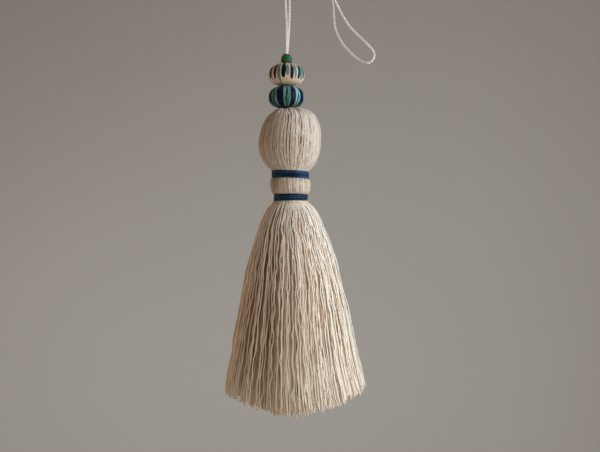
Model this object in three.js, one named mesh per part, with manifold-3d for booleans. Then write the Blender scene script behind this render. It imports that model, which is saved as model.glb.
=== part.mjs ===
// A cotton yarn tassel on a doubled hanging cord, about 290 mm from where it is held to its cut ends.
// One hank of yarn is laid over into a round head and bound twice with navy thread, so it has a ball, a small
// bulge between the bindings and a skirt of loose yarns. Three turned wooden beads sit on the cord above it.
// Millimetres, +Z up. The origin is the point where a hand or hook holds the two runs of cord, straight above
// the beads, and the tassel hangs below it. The slack end of the cord's loop falls to the +X side.
import * as THREE from "three";
import { mergeVertices } from "three/addons/utils/BufferGeometryUtils.js";
import Module from "manifold-3d";

const wasm = await Module();
wasm.setup();

// ---- driving dimensions ----
// An arc's curveSegments count half its sides, so the cord has 8.
const cord = { diameter: 1.7, curveSegments: 4, steps: 78 };
const bore = { radius: 2.15, sides: 32 };

// The beads, from the top down. Each is turned about Z: the heights of its ends and of its widest ring, the
// radius there and at the flat ends, and the power of each half's curve, where 2 is an ellipse and more is
// squarer.
const beads = [
  { name: "bead_green", material: "greenPaint", top: -43.8, widest: -48.3, bottom: -49.9, radius: 3.95,
    flatRadius: 2.4, upperPower: 2.0, lowerPower: 2.6, rows: 5 },
  { name: "bead_cream", material: "creamPaint", top: -50.2, widest: -58.0, bottom: -65.7, radius: 12.6,
    flatRadius: 3.6, upperPower: 2.2, lowerPower: 2.6, rows: 7 },
  { name: "bead_teal", material: "tealPaint", top: -66.0, widest: -73.9, bottom: -81.5, radius: 12.6,
    flatRadius: 3.6, upperPower: 2.4, lowerPower: 2.5, rows: 7 },
];

// The two bands of navy thread: the heights of their edges, their radii, sideways place and slope along X.
const bindings = [
  { name: "binding_upper", top: -125.6, bottom: -130.3, outer: 13, inner: 11.8, shift: 2.35, slope: -0.035 },
  { name: "binding_lower", top: -141.6, bottom: -146.3, outer: 12.05, inner: 10.9, shift: 2.9, slope: 0 },
];
const threadTurns = { count: 4, groove: 0.22, sides: 36 };

// The hank from the dimple under the beads to the lower neck. Each row is one section: its height, its
// radius, how far its centre stands to +X and its slope along X.
const hankSections = [
  { z: -82.1, radius: 3.0, shift: 0.3, slope: 0 },
  { z: -82.2, radius: 8.0, shift: 1.2, slope: 0.03 },
  { z: -83.2, radius: 12.0, shift: 2.3, slope: 0.05 },
  { z: -86.1, radius: 16.1, shift: 3.0, slope: 0.03 },
  { z: -91.0, radius: 19.2, shift: 3.1, slope: 0 },
  { z: -97.0, radius: 21.2, shift: 2.8, slope: 0 },
  { z: -105.0, radius: 22.0, shift: 2.2, slope: 0 },
  { z: -111.0, radius: 21.6, shift: 2.1, slope: 0 },
  { z: -117.0, radius: 19.6, shift: 2.3, slope: 0 },
  { z: -121.8, radius: 16.5, shift: 2.5, slope: -0.02 },
  { z: -125.2, radius: 13.8, shift: 2.4, slope: -0.035 },
  { z: -125.3, radius: 11.5, shift: 2.35, slope: -0.035 },
  { z: -130.6, radius: 11.5, shift: 2.35, slope: -0.035 },
  { z: -130.7, radius: 13.2, shift: 2.5, slope: -0.035 },
  { z: -133.6, radius: 14.0, shift: 2.55, slope: -0.02 },
  { z: -137.4, radius: 13.8, shift: 2.7, slope: -0.01 },
  { z: -141.2, radius: 12.6, shift: 2.8, slope: 0 },
  { z: -141.3, radius: 10.6, shift: 2.9, slope: 0 },
  { z: -146.6, radius: 10.6, shift: 2.9, slope: 0 },
];
const ridges = { count: 30, height: 0.32, fullAtRadius: 14 };

// The solid crown of the skirt, where the yarns spread from the lower neck and the locks are rooted.
const crown = { sides: 24, shift: 2.9 };
const crownSections = [
  { z: -144.0, radius: 9.6 },
  { z: -146.6, radius: 9.8 },
  { z: -146.7, radius: 12.4 },
  { z: -149.0, radius: 14.6 },
  { z: -151.5, radius: 14.8 },
];

// The skirt's outline, by the drop below its top, and its rings of locks from the outside in. A ring's place
// is its share of the outline's radius.
const skirt = { top: -146.4, lean: 0.026, shift: 2.9 };
const skirtOutline = [
  { drop: 1, radius: 10.6 },
  { drop: 4, radius: 16.2 },
  { drop: 8, radius: 19.2 },
  { drop: 16, radius: 23.0 },
  { drop: 29, radius: 27.5 },
  { drop: 45, radius: 32.0 },
  { drop: 65, radius: 36.6 },
  { drop: 90, radius: 41.8 },
  { drop: 113, radius: 46.3 },
  { drop: 142, radius: 52.0 },
];
const skirtRings = [
  { place: 0.96, locks: 74, steps: 6 },
  { place: 0.83, locks: 54, steps: 4 },
  { place: 0.7, locks: 40, steps: 3 },
  { place: 0.565, locks: 28, steps: 3 },
  { place: 0.42, locks: 18, steps: 2 },
  { place: 0.265, locks: 10, steps: 2 },
  { place: 0.1, locks: 4, steps: 2 },
];
// Each lock: how far below the skirt's top it is rooted, its length, its share of the space round the ring,
// its depth as a share of the skirt's radius, how closely its sections crowd to the root, and how far a lock
// at the outline leans out over its length.
const lock = { rootDrop: 1.4, length: 141, widthShare: 0.72, depth: 0.092, crowding: 1.6, spread: 39 };
// How much one lock differs from the next, in the space round the ring, in its sway and in its length.
const uneven = { place: 0.06, sway: 0.1, length: 2.2 };
// How much shorter the skirt is cut to the right, at both sides and at the back than at the front.
const trimmed = { right: 3.2, sides: 7, back: 1.4 };

// The cord's centreline, from the head through the beads, up to where it is held, over to the slack end of
// the loop and back by the same way.
const cordRoute = [
  [-0.32, -0.95, -81.6], [-0.32, -0.95, -60], [-0.32, -0.95, -43.8], [-0.05, -0.75, -27], [-0.75, -0.1, -9.1],
  [-1.1, 0, 1.5], [0.5, -0.1, 8.2], [5.0, -0.2, 12.9], [11.8, -0.4, 14.6], [20.2, -0.7, 12.5],
  [27.8, -0.9, 6.0], [31.8, -1.0, -2.6], [34.9, -1.1, -8.6], [39.2, -1.5, -17.3], [43.9, -1.9, -24.6],
  [49.5, -2.4, -30.6], [55.2, -2.8, -36.2], [59.6, -3.0, -41.0], [61.0, -3.0, -44.8], [59.9, -2.9, -48.2],
  [56.6, -2.6, -50.0], [51.9, -1.9, -48.6], [47.0, -1.0, -44.9], [42.7, -0.5, -40.6], [39.2, 0.0, -36.4],
  [36.2, 0.6, -31.0], [33.9, 0.9, -24.8], [33.0, 1.1, -17.0], [32.4, 1.2, -8.5], [29.8, 1.2, -0.6],
  [24.0, 1.0, 6.6], [15.8, 0.8, 11.0], [8.0, 0.6, 10.1], [3.2, 0.3, 5.6], [1.8, 0.1, -1.2],
  [2.0, 0.2, -9.1], [1.5, 0.85, -27], [0.32, 0.95, -43.8], [0.32, 0.95, -60], [0.32, 0.95, -81.6],
];

// ---- materials ----
function matt(colour, roughness) {
  return new THREE.MeshStandardMaterial({ color: colour, roughness, metalness: 0 });
}

const materials = {
  cottonCord: matt(0xe9e4da, 0.85),
  cottonYarn: matt(0xd9c9ab, 0.9),
  navyThread: matt(0x17294b, 0.5),
  greenPaint: matt(0x2f6b45, 0.6),
  creamPaint: matt(0xd8c3a5, 0.55),
  tealPaint: matt(0x3f7f7c, 0.5),
};

// ---- helpers ----
// A repeatable number from -1 to 1 for each lock or ridge.
function scatter(index, salt) {
  const raw = Math.sin(index * 12.9898 + salt * 78.233) * 43758.5453;
  return 2 * (raw - Math.floor(raw)) - 1;
}

// The skirt's radius at a drop below its top, read in straight lines between the outline's rows.
function skirtRadius(drop) {
  const next = skirtOutline.findIndex((row) => row.drop >= drop);
  if (next === -1) return skirtOutline.at(-1).radius;
  if (next === 0) return skirtOutline[0].radius;
  const above = skirtOutline[next - 1];
  const below = skirtOutline[next];
  return THREE.MathUtils.mapLinear(drop, above.drop, below.drop, above.radius, below.radius);
}

// A closed mesh through rings of points that run from the top down, each counter-clockwise seen from above.
function loft(rings) {
  const sides = rings[0].length;
  const faces = [];
  for (let ring = 0; ring < rings.length - 1; ring++) {
    for (let side = 0; side < sides; side++) {
      const here = ring * sides + side;
      const beside = ring * sides + ((side + 1) % sides);
      faces.push(here, here + sides, beside, beside, here + sides, beside + sides);
    }
  }
  const last = (rings.length - 1) * sides;
  for (let side = 1; side < sides - 1; side++) {
    faces.push(0, side, side + 1, last, last + side + 1, last + side);
  }
  return new THREE.BufferGeometry().setFromPoints(rings.flat()).setIndex(faces);
}

// A lathe about Z from [radius, height] pairs that run down the outside and close on themselves.
function turned(profile, sides) {
  const upwards = profile.map(([radius, height]) => new THREE.Vector2(radius, height)).reverse();
  return new THREE.LatheGeometry(upwards, sides).rotateX(Math.PI / 2);
}

function toSolid(geometry) {
  const merged = mergeVertices(geometry, 1e-4);
  const vertProperties = merged.getAttribute("position").array;
  const triVerts = new Uint32Array(merged.getIndex().array);
  return new wasm.Manifold(new wasm.Mesh({ numProp: 3, vertProperties, triVerts }));
}

function fromSolid(solid) {
  const { vertProperties, triVerts } = solid.getMesh();
  const geometry = new THREE.BufferGeometry();
  geometry.setAttribute("position", new THREE.BufferAttribute(vertProperties, 3));
  geometry.setIndex(new THREE.BufferAttribute(triVerts, 1));
  geometry.computeVertexNormals();
  return geometry;
}

function namedMesh(name, geometry, material) {
  const mesh = new THREE.Mesh(geometry, material);
  mesh.name = name;
  return mesh;
}

// ---- the cord ----
function cordGeometry() {
  const section = new THREE.Shape();
  section.absarc(0, 0, cord.diameter / 2, 0, Math.PI * 2);
  const points = cordRoute.map(([x, y, z]) => new THREE.Vector3(x, y, z));
  const extrudePath = new THREE.CatmullRomCurve3(points, false, "centripetal");
  return new THREE.ExtrudeGeometry(section, {
    steps: cord.steps,
    curveSegments: cord.curveSegments,
    extrudePath,
  });
}

// ---- the beads ----
// One half of a bead's outside, from its flat end to its widest ring, as pairs of the radius and the distance
// along Z from that ring.
function beadHalf(bead, height, power) {
  const flatAngle = Math.asin((bead.flatRadius / bead.radius) ** (power / 2));
  const fullHeight = Math.cos(flatAngle) ** (2 / power);
  return Array.from({ length: bead.rows + 1 }, (_, row) => {
    const angle = THREE.MathUtils.mapLinear(row, 0, bead.rows, flatAngle, Math.PI / 2);
    const rise = row === bead.rows ? 0 : (height * Math.cos(angle) ** (2 / power)) / fullHeight;
    return [bead.radius * Math.sin(angle) ** (2 / power), rise];
  });
}

function beadGeometry(bead) {
  const upper = beadHalf(bead, bead.top - bead.widest, bead.upperPower)
    .map(([radius, rise]) => [radius, bead.widest + rise]);
  const lower = beadHalf(bead, bead.widest - bead.bottom, bead.lowerPower)
    .map(([radius, rise]) => [radius, bead.widest - rise])
    .reverse()
    .slice(1);
  const boreTop = [bore.radius, bead.top];
  return turned([boreTop, ...upper, ...lower, [bore.radius, bead.bottom], boreTop], bore.sides);
}

// ---- the bindings ----
// A band of thread turns laid side by side, sloped as it was wound.
function bindingGeometry(band) {
  const pitch = (band.top - band.bottom) / threadTurns.count;
  const grooveRadius = band.outer - threadTurns.groove;
  const profile = [[band.inner, band.top], [grooveRadius, band.top]];
  for (let turn = 0; turn < threadTurns.count; turn++) {
    profile.push([band.outer, band.top - (turn + 0.5) * pitch]);
    profile.push([grooveRadius, band.top - (turn + 1) * pitch]);
  }
  profile.push([band.inner, band.bottom], [band.inner, band.top]);
  const slope = new THREE.Matrix4().makeShear(0, band.slope, 0, 0, 0, 0);
  return turned(profile, threadTurns.sides).applyMatrix4(slope).translate(band.shift, 0, 0);
}

// ---- the hank ----
// One section of the hank, ridged by the bundles of yarn that run over it.
function hankRing(section) {
  const sides = ridges.count * 2;
  const height = ridges.height * Math.min(1, section.radius / ridges.fullAtRadius);
  return Array.from({ length: sides }, (_, side) => {
    const angle = (side / sides) * Math.PI * 2;
    const radius = section.radius - height + (side % 2 ? -height : height * (1 + 0.5 * scatter(side, 1)));
    const x = radius * Math.cos(angle);
    return new THREE.Vector3(section.shift + x, radius * Math.sin(angle), section.z + section.slope * x);
  });
}

function crownRing(section) {
  return Array.from({ length: crown.sides }, (_, side) => {
    const angle = (side / crown.sides) * Math.PI * 2;
    const x = crown.shift + section.radius * Math.cos(angle);
    return new THREE.Vector3(x, section.radius * Math.sin(angle), section.z);
  });
}

// One tapered lock of the skirt, three-sided with an edge outwards, from inside the crown to its cut end.
function skirtLock(ring, number, index) {
  const pitch = (Math.PI * 2) / ring.locks;
  const angle = (number + 0.5 * scatter(ring.locks, 2) + uneven.place * scatter(index, 3)) * pitch;
  const length = lock.length + uneven.length * scatter(index, 4)
    - trimmed.right * Math.cos(angle) - trimmed.sides * Math.cos(angle) ** 2 - trimmed.back * Math.sin(angle);
  const fullDrop = Math.sqrt(length ** 2 - (ring.place * lock.spread) ** 2);
  const halfWidth = 0.5 * lock.widthShare * pitch;
  const corners = [
    { place: ring.place + lock.depth / 2, turn: 0 },
    { place: ring.place - lock.depth / 2, turn: halfWidth },
    { place: ring.place - lock.depth / 2, turn: -halfWidth },
  ];
  const sections = Array.from({ length: ring.steps + 1 }, (_, step) => {
    const share = (step / ring.steps) ** lock.crowding;
    const drop = THREE.MathUtils.lerp(lock.rootDrop, fullDrop, share);
    const sway = uneven.sway * pitch * share * Math.sin(2.1 * step + index);
    return corners.map((corner) => {
      const around = angle + sway + corner.turn;
      const radius = corner.place * skirtRadius(drop);
      const x = skirt.shift + skirt.lean * drop + radius * Math.cos(around);
      return new THREE.Vector3(x, radius * Math.sin(around), skirt.top - drop);
    });
  });
  return toSolid(loft(sections));
}

function hankGeometry() {
  const solids = [toSolid(loft(hankSections.map(hankRing))), toSolid(loft(crownSections.map(crownRing)))];
  let index = 0;
  for (const ring of skirtRings) {
    for (let number = 0; number < ring.locks; number++) {
      solids.push(skirtLock(ring, number, index));
      index++;
    }
  }
  return fromSolid(wasm.Manifold.union(solids));
}

// ---- the tassel ----
const tassel = new THREE.Group();
tassel.add(namedMesh("hang_cord", cordGeometry(), materials.cottonCord));
for (const bead of beads) tassel.add(namedMesh(bead.name, beadGeometry(bead), materials[bead.material]));
tassel.add(namedMesh("yarn_hank", hankGeometry(), materials.cottonYarn));
for (const band of bindings) tassel.add(namedMesh(band.name, bindingGeometry(band), materials.navyThread));

export default tassel;
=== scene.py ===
import math

import bpy
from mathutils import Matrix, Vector


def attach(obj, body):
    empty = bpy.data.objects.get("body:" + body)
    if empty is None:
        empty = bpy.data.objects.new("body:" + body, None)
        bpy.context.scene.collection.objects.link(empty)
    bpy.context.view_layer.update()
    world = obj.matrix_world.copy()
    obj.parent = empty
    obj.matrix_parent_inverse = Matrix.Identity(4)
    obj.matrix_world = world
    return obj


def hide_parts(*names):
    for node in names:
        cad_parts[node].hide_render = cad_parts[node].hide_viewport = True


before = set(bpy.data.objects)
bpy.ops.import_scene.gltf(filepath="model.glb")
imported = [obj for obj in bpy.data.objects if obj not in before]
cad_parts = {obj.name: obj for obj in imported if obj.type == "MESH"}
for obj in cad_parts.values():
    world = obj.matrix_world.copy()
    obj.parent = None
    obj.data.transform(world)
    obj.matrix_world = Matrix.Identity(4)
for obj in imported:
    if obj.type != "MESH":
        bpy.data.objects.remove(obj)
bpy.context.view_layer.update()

tau = 2 * math.pi
print("frame loaded:", ", ".join(sorted(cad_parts)))


# Node trees are built through this small helper, for geometry and for materials alike
class NodeMaker:
    def __init__(self, tree):
        self.tree = tree

    def add(self, kind, inputs=None, **settings):
        node = self.tree.nodes.new(kind)
        for name, value in settings.items():
            setattr(node, name, value)
        self.feed(node, inputs or {})
        return node

    def feed(self, node, inputs):
        for socket, value in inputs.items():
            if isinstance(value, bpy.types.NodeSocket):
                self.tree.links.new(value, node.inputs[socket])
            else:
                node.inputs[socket].default_value = value

    # These two give a new node's first output
    def shape(self, kind, inputs=None, **settings):
        return self.add("GeometryNode" + kind, inputs, **settings).outputs[0]

    def shade(self, kind, inputs=None, **settings):
        return self.add("ShaderNode" + kind, inputs, **settings).outputs[0]

    def math(self, operation, *values):
        return self.shade("Math", dict(enumerate(values)), operation=operation)

    def plus(self, first, second):
        return self.math("ADD", first, second)

    def minus(self, first, second):
        return self.math("SUBTRACT", first, second)

    def times(self, first, second):
        return self.math("MULTIPLY", first, second)

    def over(self, first, second):
        return self.math("DIVIDE", first, second)

    def vector(self, operation, *values):
        return self.shade("VectorMath", dict(enumerate(values)), operation=operation)

    def scaled(self, vector, factor):
        return self.shade("VectorMath", {0: vector, "Scale": factor}, operation="SCALE")

    def xyz(self, x=0.0, y=0.0, z=0.0):
        return self.shade("CombineXYZ", {0: x, 1: y, 2: z})

    def split(self, vector):
        return self.add("ShaderNodeSeparateXYZ", {0: vector}).outputs

    def ease(self, value, start, end, low=0.0, high=1.0):
        inputs = {0: value, 1: start, 2: end, 3: low, 4: high}
        return self.shade("MapRange", inputs, interpolation_type="SMOOTHSTEP")

    def noise(self, place, scale=1.0, detail=1.0):
        return self.shade("TexNoise", {"Vector": place, "Scale": scale, "Detail": detail})

    # Noise about zero, in all three directions
    def wander(self, place):
        noise = self.add("ShaderNodeTexNoise", {"Vector": place, "Scale": 1.0, "Detail": 1.0})
        return self.vector("SUBTRACT", noise.outputs["Color"], (0.5, 0.5, 0.5))

    # The rest is for geometry trees alone
    def random(self, low, high, seed):
        inputs = {2: low, 3: high, 8: seed}
        return self.add("FunctionNodeRandomValue", inputs, data_type="FLOAT").outputs[1]

    def store(self, geometry, name, value, kind="FLOAT", domain="POINT"):
        inputs = {"Geometry": geometry, "Name": name, "Value": value}
        return self.shape("StoreNamedAttribute", inputs, data_type=kind, domain=domain)

    def named(self, name):
        return self.shape("InputNamedAttribute", {"Name": name}, data_type="FLOAT")


socketKinds = {int: "NodeSocketInt", float: "NodeSocketFloat"}


# A geometry tree whose inputs are the geometry, the named sizes and a material
def newTree(name, sizes, material=True):
    tree = bpy.data.node_groups.new(name, "GeometryNodeTree")
    tree.interface.new_socket("Geometry", in_out="INPUT", socket_type="NodeSocketGeometry")
    for label, value in sizes.items():
        socket = tree.interface.new_socket(label, in_out="INPUT", socket_type=socketKinds[type(value)])
        socket.default_value = value
    if material:
        tree.interface.new_socket("Material", in_out="INPUT", socket_type="NodeSocketMaterial")
    tree.interface.new_socket("Geometry", in_out="OUTPUT", socket_type="NodeSocketGeometry")
    make = NodeMaker(tree)
    return tree, make, make.add("NodeGroupInput").outputs


def endTree(make, geometry, material):
    solid = make.shape("RealizeInstances", {0: geometry})
    painted = make.shape("SetMaterial", {0: solid, "Material": material})
    make.add("NodeGroupOutput", {0: painted})


# Runs a tree on an object's data and gives back a plain mesh object
def grow(name, data, tree, material, **sizes):
    source = bpy.data.objects.new(name + "Source", data)
    bpy.context.scene.collection.objects.link(source)
    modifier = source.modifiers.new("grow", "NODES")
    modifier.node_group = tree
    values = dict(sizes, Material=material)
    for item in tree.interface.items_tree:
        if item.in_out == "INPUT" and item.name in values:
            modifier[item.identifier] = values[item.name]
    seen = source.evaluated_get(bpy.context.evaluated_depsgraph_get())
    mesh = bpy.data.meshes.new_from_object(seen)
    bpy.data.objects.remove(source)
    return addPiece(name, mesh, material)


def addPiece(name, mesh, material):
    mesh.name = name
    if not mesh.materials:
        mesh.materials.append(material)
    piece = bpy.data.objects.new(name, mesh)
    bpy.context.scene.collection.objects.link(piece)
    return piece


def joinPieces(name, pieces):
    with bpy.context.temp_override(active_object=pieces[0], selected_editable_objects=pieces):
        bpy.ops.object.join()
    pieces[0].name = pieces[0].data.name = name
    return pieces[0]


def finishPiece(piece, slot, *nodes):
    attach(piece, "root")
    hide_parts(*nodes)
    print("made", piece.name, len(piece.data.polygons), "faces")


# A smooth line through a few points: centripetal Catmull-Rom, as the cord's solid uses
def smoothLine(points, stepsPerSpan):
    points = [Vector(point) for point in points]
    padded = [points[0] * 2 - points[1], *points, points[-1] * 2 - points[-2]]
    line = []
    for start in range(len(points) - 1):
        p0, p1, p2, p3 = padded[start:start + 4]
        gaps = [max((b - a).length, 1e-9) ** 0.5 for a, b in ((p0, p1), (p1, p2), (p2, p3))]
        leave = ((p1 - p0) / gaps[0] - (p2 - p0) / (gaps[0] + gaps[1]) + (p2 - p1) / gaps[1]) * gaps[1]
        arrive = ((p2 - p1) / gaps[1] - (p3 - p1) / (gaps[1] + gaps[2]) + (p3 - p2) / gaps[2]) * gaps[1]
        for step in range(stepsPerSpan):
            t = step / stepsPerSpan
            bend = p1 * (2 * t**3 - 3 * t**2 + 1) + p2 * (3 * t**2 - 2 * t**3)
            line.append(bend + leave * (t**3 - 2 * t**2 + t) + arrive * (t**3 - t**2))
    return line + [points[-1]]


def newMaterial(name):
    material = bpy.data.materials.new(name)
    material.use_nodes = True
    make = NodeMaker(material.node_tree)
    return material, make, material.node_tree.nodes["Principled BSDF"]


def mixColour(make, factor, first, second):
    return make.add("ShaderNodeMix", {0: factor, 6: first, 7: second}, data_type="RGBA").outputs[2]


# What every yarn's look shares. A range is start and end, then low and high where they are given.
yarnForm = dict(
    stepPerTone=29.0, toneShare=0.65, patchShare=0.5, toneRange=(0.2, 0.95),
    speckRange=(0.55, 0.75, 0.0, 0.25), roughRange=(0.2, 0.8), brushedAndLitShare=0.75,
    fibreRelief=0.6, bumpStrength=0.6, sheenRoughness=0.5,
)


# Spun cotton: plies wind round the yarn, its fibres speckle it and no two strands have quite one tone
def yarnMaterial(name, finish, form=yarnForm):
    material, make, shader = newMaterial(name)
    coords = make.add("ShaderNodeTexCoord").outputs["Object"]
    around, along, _ = make.split(make.shade("UVMap", uv_map="yarnUv"))
    tone = make.add("ShaderNodeAttribute", attribute_name="tone").outputs["Fac"]
    phase = make.plus(make.times(around, float(finish["plies"])), along)
    phase = make.plus(phase, make.times(tone, form["stepPerTone"]))  # no two strands are in step
    ply = make.math("ABSOLUTE", make.math("SINE", make.times(phase, math.pi)))
    groove = make.ease(ply, 0.0, finish["grooveWidth"], 1.0, 0.0)
    brushedAndLit = make.add("ShaderNodeAttribute", attribute_name="brushedAndLit").outputs["Fac"]
    fibre = make.noise(coords, finish["fibreScale"], 3.0)
    patches = make.noise(coords, finish["patchScale"], 2.0)
    spread = make.plus(make.times(tone, form["toneShare"]), make.times(patches, form["patchShare"]))
    colour = mixColour(make, make.ease(spread, *form["toneRange"]), finish["deep"], finish["pale"])
    colour = mixColour(make, make.times(groove, finish["grooveShade"]), colour, finish["deep"])
    colour = mixColour(make, make.ease(fibre, *form["speckRange"]), colour, finish["deep"])
    # ends grow paler: partly fuzz at the cut ends, partly a painted highlight on the lit hem
    colour = mixColour(make, make.times(brushedAndLit, form["brushedAndLitShare"]), colour, finish["ends"])
    roughness = make.ease(fibre, *form["roughRange"], *finish["roughness"])
    height = make.plus(ply, make.times(fibre, form["fibreRelief"]))
    inputs = {"Strength": form["bumpStrength"], "Distance": finish["relief"], "Height": height}
    make.feed(shader, {
        "Base Color": colour, "Roughness": roughness, "Normal": make.shade("Bump", inputs),
        "Specular IOR Level": finish["specular"], "Specular Tint": finish["gloss"],
        "Sheen Weight": finish["sheen"], "Sheen Roughness": form["sheenRoughness"],
        "Sheen Tint": finish["pale"],
    })
    return material


cordCotton = dict(
    pale=(0.9, 0.93, 0.94, 1), deep=(0.66, 0.62, 0.58, 1), plies=1, grooveWidth=0.25, grooveShade=0.3,
    fibreScale=2600, patchScale=120, roughness=(0.8, 0.95), specular=0.25, gloss=(1, 1, 1, 1),
    sheen=0.2, relief=0.00008, ends=(0.9, 0.93, 0.94, 1),
)
skirtCotton = dict(
    pale=(0.86, 0.75, 0.605, 1), deep=(0.56, 0.39, 0.235, 1), plies=2, grooveWidth=0.3, grooveShade=0.3,
    fibreScale=2200, patchScale=90, roughness=(0.8, 0.95), specular=0.2, gloss=(1, 1, 1, 1),
    sheen=0.25, relief=0.0001, ends=(0.92, 0.86, 0.75, 1),
)
# A darker copy of the yarn for the head and neck: painted shade
shadedHeadCotton = dict(skirtCotton, pale=(0.78, 0.73, 0.665, 1), deep=(0.47, 0.37, 0.275, 1))
# A paler copy of the yarn for the proud strands: painted highlight where they catch the light
litProudCotton = dict(skirtCotton, pale=(0.98, 0.95, 0.89, 1), deep=(0.94, 0.88, 0.79, 1))
# A much darker copy of the yarn for the strands and surfaces beneath: painted shade in the gaps
shadedInnerCotton = dict(skirtCotton, pale=(0.52, 0.35, 0.2, 1), deep=(0.36, 0.22, 0.115, 1))
navyCotton = dict(
    pale=(0.034, 0.122, 0.265, 1), deep=(0.001, 0.003, 0.008, 1), plies=2,
    grooveWidth=0.6, grooveShade=0.95, fibreScale=3000, patchScale=200, roughness=(0.32, 0.5),
    specular=0.25, gloss=(0.12, 0.5, 1.0, 1), sheen=0.0, relief=0.00005, ends=(0.014, 0.055, 0.125, 1),
)

cordMaterial = yarnMaterial("whiteCottonCord", cordCotton)
skirtMaterial = yarnMaterial("naturalCottonYarn", skirtCotton)
shadedHeadMaterial = yarnMaterial("shadedHeadCottonYarn", shadedHeadCotton)
litProudMaterial = yarnMaterial("litProudCottonYarn", litProudCotton)
shadedInnerMaterial = yarnMaterial("shadedInnerCottonYarn", shadedInnerCotton)
navyMaterial = yarnMaterial("navyWaxedThread", navyCotton)
print("yarn materials ready")


cameraSettings = dict(place=(0.0094, -0.577, -0.1638), frameWidth=0.42, sensor=36.0, clip=(0.01, 20))


def makeCamera(settings):
    data = bpy.data.cameras.new("camera")
    data.sensor_width = settings["sensor"]
    data.lens = settings["sensor"] * -settings["place"][1] / settings["frameWidth"]
    data.clip_start, data.clip_end = settings["clip"]
    camera = bpy.data.objects.new("camera", data)
    camera.location = settings["place"]
    camera.rotation_euler = (math.pi / 2, 0, 0)  # level, looking along +Y
    bpy.context.scene.collection.objects.link(camera)
    bpy.context.scene.camera = camera


makeCamera(cameraSettings)
print("camera placed")


# Sweeps a round section along each line. yarnUv counts round the yarn and its turns of twist.
def makeSweepTree():
    tree, make, given = newTree("sweptYarn", dict(radius=0.0006, sides=4, twistLength=0.004), False)
    parameter = make.add("GeometryNodeSplineParameter").outputs
    line = make.store(given["Geometry"], "along", parameter["Length"])
    ring = make.shape("CurvePrimitiveCircle", {"Resolution": given["sides"], "Radius": given["radius"]})
    ring = make.store(ring, "around", parameter["Factor"])
    inputs = {"Curve": line, "Profile Curve": ring, "Scale": make.named("thickness"), "Fill Caps": True}
    tube = make.shape("CurveToMesh", inputs)

    around = make.named("around")
    # The seam's points read 0, so on the last face they are raised to 1
    isStart = make.math("LESS_THAN", around, 0.001)
    faceMean = make.shape("FieldOnDomain", {0: around}, domain="FACE", data_type="FLOAT")
    pastFirst = make.math("GREATER_THAN", faceMean, make.over(0.75, given["sides"]))
    closed = make.plus(around, make.times(isStart, pastFirst))
    turns = make.over(make.named("along"), given["twistLength"])
    tube = make.store(tube, "yarnUv", make.xyz(closed, turns), kind="FLOAT2", domain="CORNER")
    for spare in ("around", "thickness"):
        tube = make.shape("RemoveAttribute", {0: tube, "Name": spare})
    make.add("NodeGroupOutput", {0: make.shape("SetShadeSmooth", {0: tube})})
    return tree


sweepTree = makeSweepTree()


def sweep(make, line, radius, sides, twistLength):
    group = make.add("GeometryNodeGroup", node_tree=sweepTree)
    make.feed(group, {"Geometry": line, "radius": radius, "sides": sides, "twistLength": twistLength})
    return group.outputs[0]


cordSettings = dict(diameter=0.0017, length=0.373, stepsPerSpan=24, exit=(-0.00032, -0.00095, -0.0816))
cordTwist = dict(plies=2, plyRadius=0.00055, plyOffset=0.00043, layLength=0.0046, steps=1300, sides=8)
cordForm = dict(
    lumpScale=300.0, lumpRange=(0.2, 0.8, 0.9, 1.08), toneRange=(0.2, 0.8, 0.6, 1.0), twistShare=0.4,
)
cordRoute = [
    (-0.00032, -0.00095, -0.0816), (-0.00032, -0.00095, -0.06), (-0.00032, -0.00095, -0.0438),
    (-0.00005, -0.00075, -0.027), (-0.00075, -0.0001, -0.0091), (-0.0011, 0, 0.0015),
    (0.0005, -0.0001, 0.0082), (0.005, -0.0002, 0.0129), (0.0118, -0.0004, 0.0146),
    (0.0202, -0.0007, 0.0125), (0.0278, -0.0009, 0.006), (0.0318, -0.001, -0.0026),
    (0.0349, -0.0011, -0.0086), (0.0392, -0.0015, -0.0173), (0.0439, -0.0019, -0.0246),
    (0.0495, -0.0024, -0.0306), (0.0552, -0.0028, -0.0362), (0.0596, -0.003, -0.041),
    (0.061, -0.003, -0.0448), (0.0599, -0.0029, -0.0482), (0.0566, -0.0026, -0.05),
    (0.0519, -0.0019, -0.0486), (0.047, -0.001, -0.0449), (0.0427, -0.0005, -0.0406),
    (0.0392, 0, -0.0364), (0.0362, 0.0006, -0.031), (0.0339, 0.0009, -0.0248), (0.033, 0.0011, -0.017),
    (0.0324, 0.0012, -0.0085), (0.0298, 0.0012, -0.0006), (0.024, 0.001, 0.0066),
    (0.0158, 0.0008, 0.011), (0.008, 0.0006, 0.0101), (0.0032, 0.0003, 0.0056),
    (0.0018, 0.0001, -0.0012), (0.002, 0.0002, -0.0091), (0.0015, 0.00085, -0.027),
    (0.00032, 0.00095, -0.0438), (0.00032, 0.00095, -0.06), (0.00032, 0.00095, -0.0816),
]


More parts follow.
